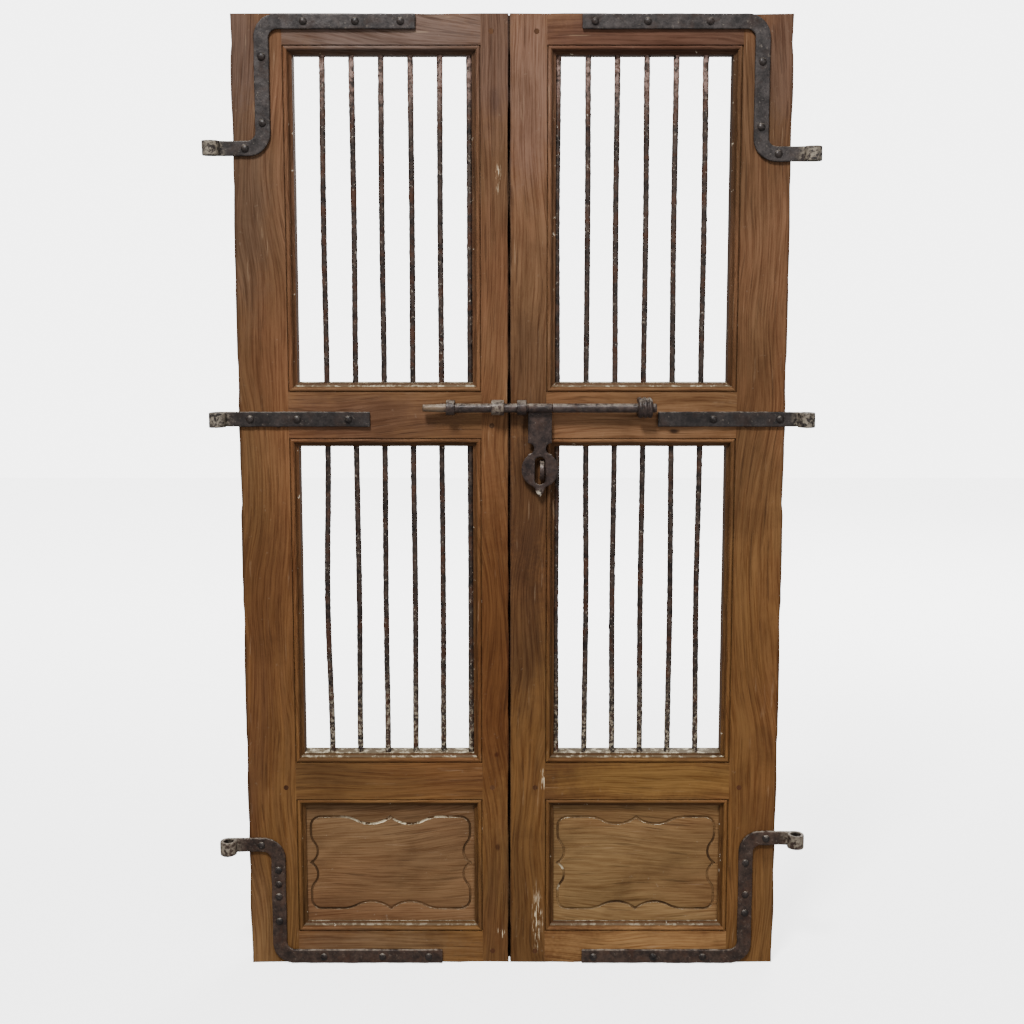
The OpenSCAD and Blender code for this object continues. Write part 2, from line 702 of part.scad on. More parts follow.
// slide bolt
module bolt_rod() color(worn_c) translate([0, rod_y, rod_z]) rotate([0, 90, 0]) {
    translate([0, 0, rod_left_x]) cylinder(rod_tip_len, d1 = rod_tip_d, d2 = rod_d);
    translate([0, 0, rod_left_x + rod_tip_len])
        cylinder(hasp_x - hasp_w / 2 - knuckle_play - rod_left_x - rod_tip_len, r = rod_r);
    translate([0, 0, hasp_x - hasp_w / 2 - knuckle_play - 1]) cylinder(hasp_w + 2 * knuckle_play + 2, r = journal_r);
    translate([0, 0, hasp_x + hasp_w / 2 + knuckle_play])
        cylinder(rod_right_x - hasp_x - hasp_w / 2 - knuckle_play, r = rod_r);
}

module hasp() color(iron_c) translate([hasp_x, rod_y, rod_z]) {
    translate([0, rod_r, 0]) rotate([90, 0, 0]) linear_extrude(hasp_t) hasp2d();
    translate([-hasp_w / 2, 0, 0]) rotate([0, 90, 0]) difference() {
        cylinder(hasp_w, r = rod_r);
        translate([0, 0, -1]) cylinder(hasp_w + 2, r = journal_r + rod_play);
    }
}

module hasp_staple() color(iron_c) {
    translate([staple_x, y_face - staple_out, slot_z]) rotate([90, 0, 90]) linear_extrude(staple_w)
        half_band2d(staple_r - staple_t, staple_t);
    staple_legs(0);
}

module left_end_keeper() color(iron_c) band(end_keeper_x, end_keeper_w);
module left_seam_keeper() color(iron_c) band(seam_keeper_x, seam_keeper_w);
module right_seam_guide() color(iron_c) band(seam_guide_x, seam_guide_w);

module right_end_guide() color(iron_c) {
    for (k = [0:coil_turns - 1])
        translate([end_guide_x + coil_d / 2 + k * coil_pitch, rod_y, rod_z]) rotate([90, 0, 90]) rotate([0, 0, 90])
            rotate_extrude(angle = 180) translate([band_r + coil_d / 2, 0]) circle(d = coil_d);
    coil_legs(0);
}

left_hanging_stile();
left_meeting_stile();
left_top_rail();
left_middle_rail();
left_lower_rail();
left_bottom_rail();
left_panel();
left_tenon_pegs();
right_hanging_stile();
right_meeting_stile();
right_top_rail();
right_middle_rail();
right_lower_rail();
right_bottom_rail();
right_panel();
right_tenon_pegs();
left_bar_1();
left_bar_2();
left_bar_3();
left_bar_4();
left_bar_5();
left_bar_6();
right_bar_1();
right_bar_2();
right_bar_3();
right_bar_4();
right_bar_5();
right_bar_6();
upper_left_strap();
upper_right_strap();
middle_left_strap();
middle_right_strap();
lower_left_strap();
lower_right_strap();
upper_left_nails();
upper_right_nails();
middle_left_nails();
middle_right_nails();
lower_left_nails();
lower_right_nails();
bolt_rod();
hasp();
hasp_staple();
left_end_keeper();
left_seam_keeper();
right_seam_guide();
right_end_guide();
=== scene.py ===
import json
import math
import bpy
from mathutils import Euler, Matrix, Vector, noise


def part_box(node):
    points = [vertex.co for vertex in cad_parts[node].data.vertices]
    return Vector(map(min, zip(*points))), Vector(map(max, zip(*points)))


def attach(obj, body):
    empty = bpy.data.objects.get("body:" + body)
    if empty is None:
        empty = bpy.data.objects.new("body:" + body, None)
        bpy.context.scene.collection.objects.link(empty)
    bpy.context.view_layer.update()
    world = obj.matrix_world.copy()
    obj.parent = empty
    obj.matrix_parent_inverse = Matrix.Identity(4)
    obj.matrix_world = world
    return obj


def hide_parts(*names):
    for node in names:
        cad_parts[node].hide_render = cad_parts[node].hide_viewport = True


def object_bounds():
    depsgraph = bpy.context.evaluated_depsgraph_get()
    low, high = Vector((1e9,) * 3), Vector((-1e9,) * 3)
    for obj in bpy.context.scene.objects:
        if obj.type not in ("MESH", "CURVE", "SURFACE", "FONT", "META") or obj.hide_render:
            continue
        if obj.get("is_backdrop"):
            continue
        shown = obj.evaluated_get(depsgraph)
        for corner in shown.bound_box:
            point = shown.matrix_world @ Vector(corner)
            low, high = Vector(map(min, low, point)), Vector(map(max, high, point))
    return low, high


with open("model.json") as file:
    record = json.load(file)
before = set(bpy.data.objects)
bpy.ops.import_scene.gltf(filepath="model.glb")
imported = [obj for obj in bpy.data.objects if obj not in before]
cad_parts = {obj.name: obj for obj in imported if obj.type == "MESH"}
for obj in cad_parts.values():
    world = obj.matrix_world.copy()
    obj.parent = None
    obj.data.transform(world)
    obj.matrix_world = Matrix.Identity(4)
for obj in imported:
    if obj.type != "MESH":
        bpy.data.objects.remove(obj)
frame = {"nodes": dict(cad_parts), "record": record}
cad_low, cad_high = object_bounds()

# Stiles and rails: sawn hardwood planks, planed by hand and moulded on the edges of the openings.
# The rails are tenoned into the stiles and the moulding is mitred where they meet.
# Oil, dust and hands have darkened them, and the arrises are rubbed pale.
MM = 0.001
FACE_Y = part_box("left_meeting_stile")[0].y
BACK_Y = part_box("left_hanging_stile")[1].y
DOOR_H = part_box("left_meeting_stile")[1].z
ARRIS = 1.3 * MM
ARRIS_ANGLE = math.radians(38)
ARRIS_RUB = 0.35
PLANE_STEP = 22 * MM
PLANE_WAVE = 0.7 * MM
PLANE_PATCH = 90 * MM
EDGE_WEAR = 3 * MM
EDGE_BAND = 3 * MM
EDGE_WAVES = 11
CREASE = 32
MERGE_GAP = 1e-5
FLAT_ANGLE = math.radians(0.5)
WOOD_SHINE = 0.1
WOOD_BLUSH = "7E4A30"
WOOD_FIBRE = "B8A595"
RUBBED_WOOD = "96765A"
GRIME = "37200F"
PORE_DIRT = "26160B"
# Near-black for faces set back behind the front: painted shade in the recesses, with grime.
RECESS_SHADE_AND_DIRT = "1F120A"
SCRATCH = "B79C7E"
CRACKED_PAINT = "D2BE9E"
PAINT_FLECK = "D9CCB4"
SILL_DUST = "5E5443"
SILL_PAINT = "C4B89E"


def linear(hex_colour):
    """Linear RGBA of a colour written as RRGGBB."""
    parts = [int(hex_colour[k:k + 2], 16) / 255 for k in (0, 2, 4)]
    return tuple(p / 12.92 if p <= 0.04045 else ((p + 0.055) / 1.055) ** 2.4 for p in parts) + (1.0,)


def put(tree, kind, inputs=None, **fields):
    """Adds a shader node, sets its fields, and fills or wires its inputs."""
    made = tree.nodes.new(kind)
    for field, value in fields.items():
        setattr(made, field, value)
    for socket, value in (inputs or {}).items():
        if isinstance(value, bpy.types.NodeSocket):
            tree.links.new(value, made.inputs[socket])
        else:
            made.inputs[socket].default_value = value
    return made


def maths(tree, operation, first, second):
    return put(tree, "ShaderNodeMath", {0: first, 1: second}, operation=operation).outputs[0]


def times(tree, first, second):
    return maths(tree, "MULTIPLY", first, second)


def plus(tree, first, second):
    return maths(tree, "ADD", first, second)


def minus(tree, first, second):
    return maths(tree, "SUBTRACT", first, second)


def vector_maths(tree, operation, first, second):
    return put(tree, "ShaderNodeVectorMath", {0: first, 1: second}, operation=operation).outputs[0]


def tint(tree, factor, under, over, mode="MIX"):
    layers = {0: factor, 6: under, 7: over}
    return put(tree, "ShaderNodeMix", layers, data_type="RGBA", blend_type=mode).outputs[2]


def stained(tree, colour, mask, strength, stain):
    """Lays a stain over a colour, as strong as the mask times the strength."""
    return tint(tree, times(tree, mask, strength), colour, linear(stain))


def fade(tree, value, low, high):
    """Smooth step of value from 0 at low to 1 at high."""
    ranged = {0: value, 1: low, 2: high}
    return put(tree, "ShaderNodeMapRange", ranged, interpolation_type="SMOOTHSTEP").outputs[0]


def object_place(tree):
    return put(tree, "ShaderNodeTexCoord").outputs["Object"]


def axes(tree, vector):
    """X, Y and Z of a vector."""
    return put(tree, "ShaderNodeSeparateXYZ", {0: vector}).outputs


def stretched(tree, place, scale, turn=(0, 0, 0), shift=(0, 0, 0)):
    """Object coordinates turned, shifted and scaled for a pattern."""
    settings = {"Vector": place, "Location": shift, "Rotation": Euler(turn), "Scale": scale}
    return put(tree, "ShaderNodeMapping", settings).outputs[0]


def shifted(tree, place, shift):
    return stretched(tree, place, (1, 1, 1), shift=shift)


def mottle(tree, place, scale, detail=4.0, rough=0.55, twist=0.0):
    settings = {"Vector": place, "Scale": scale, "Detail": detail, "Roughness": rough, "Distortion": twist}
    return put(tree, "ShaderNodeTexNoise", settings).outputs[0]


def new_group(name, vectors, values=()):
    """Shader node group with named inputs; returns it and the sockets that give them."""
    group = bpy.data.node_groups.new(name, "ShaderNodeTree")
    for label in vectors:
        group.interface.new_socket(label, in_out="INPUT", socket_type="NodeSocketVector")
    for label in values:
        group.interface.new_socket(label, in_out="INPUT", socket_type="NodeSocketFloat")
    return group, group.nodes.new("NodeGroupInput").outputs


def given_out(group, **results):
    """Wires the results of a group to outputs of those names; returns the group."""
    for label in results:
        group.interface.new_socket(label, in_out="OUTPUT", socket_type="NodeSocketFloat")
    out = group.nodes.new("NodeGroupOutput")
    for label, value in results.items():
        group.links.new(value, out.inputs[label])
    return group


def grouped(tree, group, **inputs):
    """Places a node group in a tree; returns its outputs."""
    return put(tree, "ShaderNodeGroup", inputs, node_tree=group).outputs


def grain_group():
    """Grain that runs along Z: broad tone, fine fibre, dark pores and a height."""
    group, given = new_group("plank_grain", ("Along",))
    swerve = mottle(group, stretched(group, given["Along"], (1, 1, 0.4)), 4.0, 2.0, 0.5)
    swerve = times(group, minus(group, swerve, 0.5), 0.14)
    sideways = put(group, "ShaderNodeCombineXYZ", {0: swerve}).outputs[0]
    along = vector_maths(group, "ADD", given["Along"], sideways)
    broad = mottle(group, stretched(group, along, (1, 1, 0.22)), 9.0, 3.0, 0.45, 0.6)
    streak = mottle(group, stretched(group, along, (1, 1, 0.035)), 320.0, 6.0, 0.75, 0.3)
    fibre = mottle(group, stretched(group, along, (1, 1, 0.03)), 330.0, 4.0, 0.7)
    rings = {
        "Vector": stretched(group, along, (1, 0.5, 0.055)), "Scale": 17.0, "Distortion": 11.0,
        "Detail": 2.5, "Detail Scale": 0.9, "Detail Roughness": 0.55,
    }
    ring = put(group, "ShaderNodeTexWave", rings,
               wave_type="BANDS", bands_direction="X", wave_profile="SAW").outputs[1]
    tone = plus(group, times(group, broad, 0.62), times(group, streak, 0.28))
    tone = plus(group, tone, times(group, ring, 0.08))
    pore = mottle(group, stretched(group, along, (1, 1, 0.045), shift=(3, 1, 2)), 240.0, 2.0, 0.5)
    split = fade(group, pore, 0.62, 0.72)
    height = plus(group, times(group, fibre, 0.4), times(group, streak, 0.6))
    height = minus(group, height, times(group, split, 0.5))
    return given_out(group, Tone=tone, Fibre=fibre, Split=split, Height=height)


def age_group():
    """What years leave on a surface: grime blotches, pale scratches, flecks of cream paint, a red blush."""
    group, given = new_group("age_marks", ("Place",))
    place = given["Place"]
    grime = fade(group, mottle(group, place, 6.5, 7.0, 0.62, 0.5), 0.46, 0.72)
    upright = mottle(group, stretched(group, place, (1, 1, 0.05), (0, 0.09, 0)), 210.0, 2.0, 0.5)
    patchy = fade(group, mottle(group, place, 11.0, 4.0, 0.6), 0.48, 0.62)
    scratch = times(group, fade(group, upright, 0.66, 0.72), patchy)
    fleck = mottle(group, shifted(group, place, (5, 2, 1)), 85.0, 5.0, 0.7)
    fleck = fade(group, fleck, 0.655, 0.70)
    blush = mottle(group, stretched(group, place, (1, 1, 0.4), shift=(1, 7, 3)), 4.0, 6.0, 0.6)
    blush = fade(group, blush, 0.42, 0.66)
    return given_out(group, Grime=grime, Scratch=scratch, Fleck=fleck, Blush=blush)


def ragged_group():
    """Coarse and fine noise that breaks up the edge of a smudge."""
    group, given = new_group("ragged_edge", ("Place",))
    coarse = times(group, mottle(group, given["Place"], 24.0, 5.0), 0.6)
    fine = times(group, mottle(group, given["Place"], 190.0, 5.0), 0.4)
    return given_out(group, Ragged=plus(group, coarse, fine))


def smudge_group():
    """Soft ellipsoid with a ragged edge round a point, for stains and rubbed places."""
    group, given = new_group("smudge", ("Place", "Centre", "Reach"), ("Ragged",))
    away = vector_maths(group, "SUBTRACT", given["Place"], given["Centre"])
    share = vector_maths(group, "DIVIDE", away, given["Reach"])
    far = put(group, "ShaderNodeVectorMath", {0: share}, operation="LENGTH").outputs["Value"]
    return given_out(group, Mask=fade(group, plus(group, far, given["Ragged"]), 1.5, 0.8))


def ledge_group():
    """Faces that look upwards, where dust settles; on iron they also take a painted highlight."""
    group, given = new_group("ledge", ("Normal",))
    return given_out(group, Ledge=fade(group, axes(group, given["Normal"])["Z"], 0.35, 0.9))


GRAIN = grain_group()
AGE = age_group()
RAGGED = ragged_group()
SMUDGE = smudge_group()
LEDGE = ledge_group()


def ragged_edge(tree, place):
    return grouped(tree, RAGGED, Place=place)["Ragged"]


def smudge(tree, place, ragged, centre, reach):
    return grouped(tree, SMUDGE, Place=place, Ragged=ragged, Centre=centre, Reach=reach)["Mask"]


def facing_up(tree):
    normal = put(tree, "ShaderNodeNewGeometry").outputs["Normal"]
    return grouped(tree, LEDGE, Normal=normal)["Ledge"]


def new_material(name):
    """Material with its node tree and its shader."""
    material = bpy.data.materials.new(name)
    material.use_nodes = True
    return material, material.node_tree, material.node_tree.nodes["Principled BSDF"]


def wired(tree, shader, colour, rough, height, strength, depth):
    """Wires a colour, a roughness and a bump of the given height to a shader."""
    bump = put(tree, "ShaderNodeBump", {"Height": height, "Strength": strength, "Distance": depth})
    tree.links.new(colour, shader.inputs["Base Color"])
    tree.links.new(rough, shader.inputs["Roughness"])
    tree.links.new(bump.outputs["Normal"], shader.inputs["Normal"])


def timber(name, dark, light, upper_light, lies, shift, rubbed=0.0, stains_and_shade=(), scratches=(), recess_shade_and_dirt=0.5):
    """Old oiled wood. lies turns the grain to run along X; rubbed lightens the bevelled arrises."""
    material, tree, shader = new_material(name)
    place = object_place(tree)
    spread = axes(tree, place)
    deep = spread["Y"]
    height = spread["Z"]
    along = stretched(tree, place, (1, 1, 1), (0, math.pi / 2 if lies else 0, 0), shift)
    grain = grouped(tree, GRAIN, Along=along)
    age = grouped(tree, AGE, Place=along)
    ragged = ragged_edge(tree, place)
    pale = tint(tree, fade(tree, height, 0.5, 1.5), linear(light), linear(upper_light))
    colour = tint(tree, fade(tree, grain["Tone"], 0.22, 0.74), linear(dark), pale)
    colour = stained(tree, colour, age["Blush"], 0.22, WOOD_BLUSH)
    # Listed smudges of stain; along the seam and the outer edges they are painted shade.
    for centre, reach, stain, strength in stains_and_shade:
        mask = smudge(tree, place, ragged, centre, reach)
        colour = stained(tree, colour, mask, strength, stain)
    colour = tint(tree, fade(tree, grain["Fibre"], 0.35, 0.75), colour, linear(WOOD_FIBRE), "MULTIPLY")
    colour = stained(tree, colour, age["Grime"], 0.32, GRIME)
    colour = stained(tree, colour, grain["Split"], 0.38, PORE_DIRT)
    # Faces set back behind the front, short of the back, are darkened: painted shade in the recesses,
    # together with grime.
    inside = fade(tree, deep, FACE_Y + 1.2 * MM, FACE_Y + 6 * MM)
    inside = times(tree, inside, fade(tree, deep, BACK_Y - 1 * MM, BACK_Y - 4 * MM))
    colour = stained(tree, colour, inside, 0.9 * recess_shade_and_dirt, RECESS_SHADE_AND_DIRT)
    colour = stained(tree, colour, age["Scratch"], 0.14, SCRATCH)
    if scratches:
        cracked = mottle(tree, stretched(tree, place, (1, 1, 0.07)), 420.0, 4.0, 0.6)
        cracked = fade(tree, cracked, 0.53, 0.60)
        for centre, reach in scratches:
            mask = smudge(tree, place, ragged, centre, reach)
            colour = stained(tree, colour, mask, cracked, CRACKED_PAINT)
    sill = times(tree, facing_up(tree), fade(tree, deep, FACE_Y + 4 * MM, FACE_Y + 8 * MM))
    sill = times(tree, sill, fade(tree, height, DOOR_H - 0.02, DOOR_H - 0.04))
    colour = stained(tree, colour, sill, 0.75, SILL_DUST)
    dusty = fade(tree, mottle(tree, place, 75.0, 7.0, 0.74), 0.49, 0.60)
    above_panels = plus(tree, times(tree, fade(tree, height, 0.15, 0.3), 0.4), 0.45)
    colour = stained(tree, colour, sill, times(tree, dusty, above_panels), SILL_PAINT)
    near_edge = plus(tree, times(tree, inside, recess_shade_and_dirt), 0.04 + rubbed * 0.7)
    colour = stained(tree, colour, age["Fleck"], near_edge, PAINT_FLECK)
    if rubbed:
        worn = fade(tree, mottle(tree, place, 26.0, 5.0, 0.65), 0.42, 0.68)
        colour = stained(tree, colour, worn, rubbed, RUBBED_WOOD)
    rough = plus(tree, times(tree, grain["Fibre"], 0.25), 0.5)
    wired(tree, shader, colour, rough, grain["Height"], 0.5, 1.1 * MM)
    shader.inputs["Specular IOR Level"].default_value = WOOD_SHINE
    return material


# Dark band down both sides of the seam between the leaves: painted shade of the gap, with dirt.
SEAM_SHADE_AND_DIRT = ((-0.005, FACE_Y, 0.85), (0.005, 0.05, 3.0), "1C1009", 0.75)
LEFT_STAINS_AND_SHADE = (
    SEAM_SHADE_AND_DIRT,
    ((-0.030, FACE_Y, 1.553), (0.011, 0.02, 0.034), "402A1A", 0.60),
    ((-0.028, FACE_Y, 0.397), (0.006, 0.02, 0.007), "361A10", 0.85),
    ((-0.026, FACE_Y, 0.222), (0.006, 0.02, 0.009), "3A2213", 0.80),
    ((-0.03, FACE_Y, 0.60), (0.06, 0.05, 0.44), "4C260E", 0.6),
    ((-0.46, FACE_Y, 1.40), (0.06, 0.05, 0.30), "54463C", 0.30),
    ((-0.47, FACE_Y, 1.64), (0.06, 0.05, 0.16), "554642", 0.45),
    ((-0.03, FACE_Y, 1.64), (0.06, 0.05, 0.20), "524240", 0.35),
    ((-0.44, FACE_Y, 0.72), (0.07, 0.05, 0.22), "452811", 0.35),
    ((-0.47, FACE_Y, 0.06), (0.05, 0.05, 0.16), "8F7252", 0.25),
    # Dark strip down the outer edge of the stile: painted shade of the side that is in shadow.
    ((-0.48, FACE_Y, 0.85), (0.006, 0.012, 3.0), "27180F", 0.55),
)
RIGHT_STAINS_AND_SHADE = (
    SEAM_SHADE_AND_DIRT,
    ((0.028, FACE_Y, 0.86), (0.075, 0.05, 0.22), "2E1E14", 0.60),
    ((0.020, FACE_Y, 0.64), (0.055, 0.05, 0.26), "35231A", 0.45),
    ((0.030, FACE_Y, 1.09), (0.060, 0.05, 0.16), "3C2A1F", 0.40),
    ((0.030, FACE_Y, 1.58), (0.060, 0.05, 0.24), "755E54", 0.40),
    ((0.46, FACE_Y, 1.62), (0.06, 0.05, 0.16), "4E423E", 0.35),
    ((0.46, FACE_Y, 0.10), (0.06, 0.05, 0.20), "85623A", 0.27),
    # Dark strip down the outer edge of the stile: painted shade of the side that is in shadow.
    ((0.48, FACE_Y, 0.85), (0.006, 0.012, 3.0), "27180F", 0.55),
)
LEFT_SCRATCHES = (
    ((-0.023, FACE_Y, 0.057), (0.016, 0.02, 0.012)),
    ((-0.024, FACE_Y, 1.424), (0.007, 0.02, 0.030)),
)
RIGHT_SCRATCHES = (
    ((0.046, FACE_Y, 0.085), (0.012, 0.03, 0.080)),
    ((0.056, FACE_Y, 0.352), (0.008, 0.02, 0.024)),
)
LEFT_CROSS_STAINS = (
    ((-0.27, FACE_Y, 1.01), (0.24, 0.05, 0.06), "553C30", 0.60),
    ((-0.25, FACE_Y, 0.03), (0.24, 0.05, 0.05), "7C6852", 0.38),
    ((-0.22, FACE_Y, 1.67), (0.34, 0.05, 0.07), "5E514C", 0.70),
)
RIGHT_CROSS_STAINS = (
    ((0.25, FACE_Y, 0.35), (0.26, 0.05, 0.05), "95713C", 0.40),
    ((0.25, FACE_Y, 0.03), (0.30, 0.05, 0.06), "AE8656", 0.55),
    ((0.20, FACE_Y, 1.00), (0.26, 0.05, 0.05), "86664C", 0.40),
    ((0.24, FACE_Y, 1.66), (0.34, 0.05, 0.07), "472F27", 0.70),
    ((0.285, FACE_Y, 0.986), (0.013, 0.02, 0.006), "1A0E07", 0.9),
)
LEFT_WOOD = dict(dark="4B3520", light="7A5831", upper_light="74553F")
RIGHT_WOOD = dict(dark="48321D", light="74522D", upper_light="73563F")


def timber_pair(name, wood, lies, shift, stains_and_shade, scratches=()):
    """Face and arris materials of one group of planks."""
    marks = dict(lies=lies, shift=shift, stains_and_shade=stains_and_shade, scratches=scratches)
    return timber(name, **marks, **wood), timber(name + "_arris", rubbed=ARRIS_RUB, **marks, **wood)


PLANK_FINISH = {
    ("left", False): timber_pair(
        "left_upright_wood", LEFT_WOOD, False, (0.3, 0.1, 0.7), LEFT_STAINS_AND_SHADE, LEFT_SCRATCHES),
    ("left", True): timber_pair(
        "left_cross_wood", LEFT_WOOD, True, (0.9, 0.4, 0.2), LEFT_CROSS_STAINS),
    ("right", False): timber_pair(
        "right_upright_wood", RIGHT_WOOD, False, (1.6, 0.8, 0.3), RIGHT_STAINS_AND_SHADE, RIGHT_SCRATCHES),
    ("right", True): timber_pair(
        "right_cross_wood", RIGHT_WOOD, True, (2.4, 0.2, 0.6), RIGHT_CROSS_STAINS),
}


def select_only(piece):
    bpy.ops.object.select_all(action="DESELECT")
    piece.select_set(True)
    bpy.context.view_layer.objects.active = piece


def copied(node, name):
    """New piece with a merged copy of a CAD node's mesh."""
    piece = bpy.data.objects.new(name, frame["nodes"][node].data.copy())
    bpy.context.scene.collection.objects.link(piece)
    piece.data.materials.clear()
    select_only(piece)
    bpy.ops.object.mode_set(mode="EDIT")
    bpy.ops.mesh.select_all(action="SELECT")
    bpy.ops.mesh.remove_doubles(threshold=MERGE_GAP)
    bpy.ops.mesh.dissolve_limited(angle_limit=FLAT_ANGLE)
    bpy.ops.object.mode_set(mode="OBJECT")
    return piece


def applied(piece, kind, **fields):
    """Adds a modifier, sets it and applies it."""
    select_only(piece)
    modifier = piece.modifiers.new(kind.lower(), kind)
    for field, value in fields.items():
        setattr(modifier, field, value)
    bpy.ops.object.modifier_apply(modifier=modifier.name)


def eased(piece, width, angle, **fields):
    """Rounds off the edges of a piece that are sharper than an angle."""
    applied(piece, "BEVEL", width=width, segments=2, limit_method="ANGLE", angle_limit=angle, **fields)


def cloud(name, size):
    texture = bpy.data.textures.new(name, "CLOUDS")
    texture.noise_scale = size
    texture.noise_depth = 2
    return texture


HAND_PLANED = cloud("hand_planed", PLANE_PATCH)


def waved(piece, texture, strength, middle=0.5):
    """Moves a surface in and out by a cloud texture, as a tool leaves it."""
    applied(piece, "DISPLACE", texture=texture, strength=strength, mid_level=middle, texture_coords="LOCAL")


def sliced(piece, axis, step):
    """Cuts a mesh across one axis at even steps, so that its long edges can waver."""
    select_only(piece)
    spots = [v.co[axis] for v in piece.data.vertices]
    normal = Vector((0, 0, 0))
    normal[axis] = 1
    bpy.ops.object.mode_set(mode="EDIT")
    for k in range(1, int((max(spots) - min(spots)) / step) + 1):
        bpy.ops.mesh.select_all(action="SELECT")
        bpy.ops.mesh.bisect(plane_co=normal * (min(spots) + k * step), plane_no=normal)
    bpy.ops.object.mode_set(mode="OBJECT")


def contained(piece):
    """Keeps the waves of a worked surface inside the box of the CAD."""
    for vertex in piece.data.vertices:
        vertex.co = [min(max(vertex.co[k], cad_low[k]), cad_high[k]) for k in range(3)]


def worn_edge(plank, axis, sign, depth):
    """Wears the edge on one side of an axis back unevenly, down to a depth behind the face."""
    run = 2 - axis
    reached = [vertex for vertex in plank.data.vertices if vertex.co.y < FACE_Y + depth]
    outer = max(vertex.co[axis] * sign for vertex in reached)
    for vertex in reached:
        if vertex.co[axis] * sign < outer - EDGE_BAND:
            continue
        place = Vector((vertex.co[run] * EDGE_WAVES, outer * EDGE_WAVES, axis))
        bite = noise.noise(place) + 0.5 * noise.noise(place * 3) + 0.2
        vertex.co[axis] -= sign * EDGE_WEAR * max(bite, 0.0)


def smoothed(piece, degrees):
    select_only(piece)
    bpy.ops.object.shade_smooth_by_angle(angle=math.radians(degrees))


THROUGH = 1.0
AT_FACE = 5 * MM
WORN_EDGES = {
    "left_hanging_stile": ((0, -1, THROUGH),),
    "right_hanging_stile": ((0, 1, THROUGH),),
    "left_meeting_stile": ((0, 1, AT_FACE),),
    "right_meeting_stile": ((0, -1, AT_FACE),),
    "hanging_stile": ((2, 1, THROUGH), (2, -1, THROUGH)),
    "meeting_stile": ((2, 1, THROUGH), (2, -1, THROUGH)),
    "top_rail": ((2, 1, THROUGH),),
    "bottom_rail": ((2, -1, THROUGH),),
}
LIES = {
    "hanging_stile": False,
    "meeting_stile": False,
    "top_rail": True,
    "middle_rail": True,
    "lower_rail": True,
    "bottom_rail": True,
}
for side in ("left", "right"):
    for part, lies in LIES.items():
        node = side + "_" + part
        plank = copied(node, node + "_plank")
        for finish in PLANK_FINISH[side, lies]:
            plank.data.materials.append(finish)
        eased(plank, ARRIS, ARRIS_ANGLE, material=1)
        sliced(plank, 0 if lies else 2, PLANE_STEP)
        waved(plank, HAND_PLANED, PLANE_WAVE)
        for axis, sign, depth in WORN_EDGES.get(node, ()) + WORN_EDGES.get(part, ()):
            worn_edge(plank, axis, sign, depth)
        contained(plank)
        smoothed(plank, CREASE)
        applied(plank, "WEIGHTED_NORMAL", keep_sharp=True)
        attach(plank, "leaves")
        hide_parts(node)

# Bottom panels: one wide board each, loose in the grooves, with a cartouche cut in its face by gouge.
# The cut has kept dirt and some cream paint.
PANEL_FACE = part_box("left_panel")[0].y
PANEL_ARRIS = 0.7 * MM
PANEL_ANGLE = math.radians(50)
CUT_DIRT = "3C2A19"
CUT_PAINT = "CDBFA2"


def panel_wood(name, dark, light, shift, paint_at, paint_reach):
    """Wood of a panel, with grime and paint in the line that is cut in its face."""
    material = timber(name, dark, light, light, lies=True, shift=shift, recess_shade_and_dirt=0.06)
    tree = material.node_tree
    base = tree.nodes["Principled BSDF"].inputs["Base Color"]
    colour = base.links[0].from_socket
    place = object_place(tree)
    deep = axes(tree, place)["Y"]
    cut = fade(tree, deep, PANEL_FACE + 0.3 * MM, PANEL_FACE + 1.2 * MM)
    cut = times(tree, cut, fade(tree, deep, PANEL_FACE + 4 * MM, PANEL_FACE + 3 * MM))
    painted = fade(tree, mottle(tree, place, 60.0, 4.0, 0.6), 0.42, 0.52)
    painted = times(tree, painted, smudge(tree, place, ragged_edge(tree, place), paint_at, paint_reach))
    faint = fade(tree, mottle(tree, place, 17.0, 3.0), 0.62, 0.42)
    line = tint(tree, times(tree, faint, 0.7), linear(CUT_DIRT), colour)
    line = tint(tree, painted, line, linear(CUT_PAINT))
    tree.links.new(tint(tree, cut, colour, line), base)
    return material


PANEL_LOOK = {
    "left": ("674F37", "816445", (3.1, 0.5, 0.4), (-0.215, PANEL_FACE, 0.268), (0.12, 0.03, 0.030)),
    "right": ("6B5336", "876B46", (4.2, 0.3, 0.9), (0.089, PANEL_FACE, 0.160), (0.020, 0.03, 0.030)),
}
for side, look in PANEL_LOOK.items():
    board = copied(side + "_panel", side + "_panel_board")
    board.data.materials.append(panel_wood(side + "_panel_wood", *look))
    eased(board, PANEL_ARRIS, PANEL_ANGLE)
    smoothed(board, CREASE)
    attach(board, "leaves")
    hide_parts(side + "_panel")

# Tenon pegs: split hardwood dowels driven through the joints and cut off flush.
# They show their end grain, a little darker than the planks.
PEG_FINISH = timber("peg_end_wood", "2E1D12", "5C402A", "5C402A", lies=False, shift=(5, 1, 2))
for side in ("left", "right"):
    pegs = frame["nodes"][side + "_tenon_pegs"]
    pegs.data.materials.clear()
    pegs.data.materials.append(PEG_FINISH)

# Bars: round wrought rods, drawn down under the hammer, let into the rails.
# They are pitted, rusted and a little bent, with old paint at their heads and specks of it at their feet.
BAR_R = (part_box("left_bar_1")[1].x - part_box("left_bar_1")[0].x) / 2
BAR_SIDES = 14
BAR_STEP = 5 * MM
BAR_HAMMER = 1.8 * MM
BAR_MIDDLE = 0.05
BAR_CREASE = 60
UPPER_Z = (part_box("left_middle_rail")[1].z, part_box("left_top_rail")[0].z)
LOWER_Z = (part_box("left_lower_rail")[1].z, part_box("left_middle_rail")[0].z)
IRON_METAL = 0.2
IRON_SHINE = 0.3
IRON_SCALE = "93887B"
IRON_DUST_AND_HIGHLIGHT = "94897B"
BAR_HEAD_PAINT = "8C7268"
BAR_FOOT_PAINT = "A79B86"


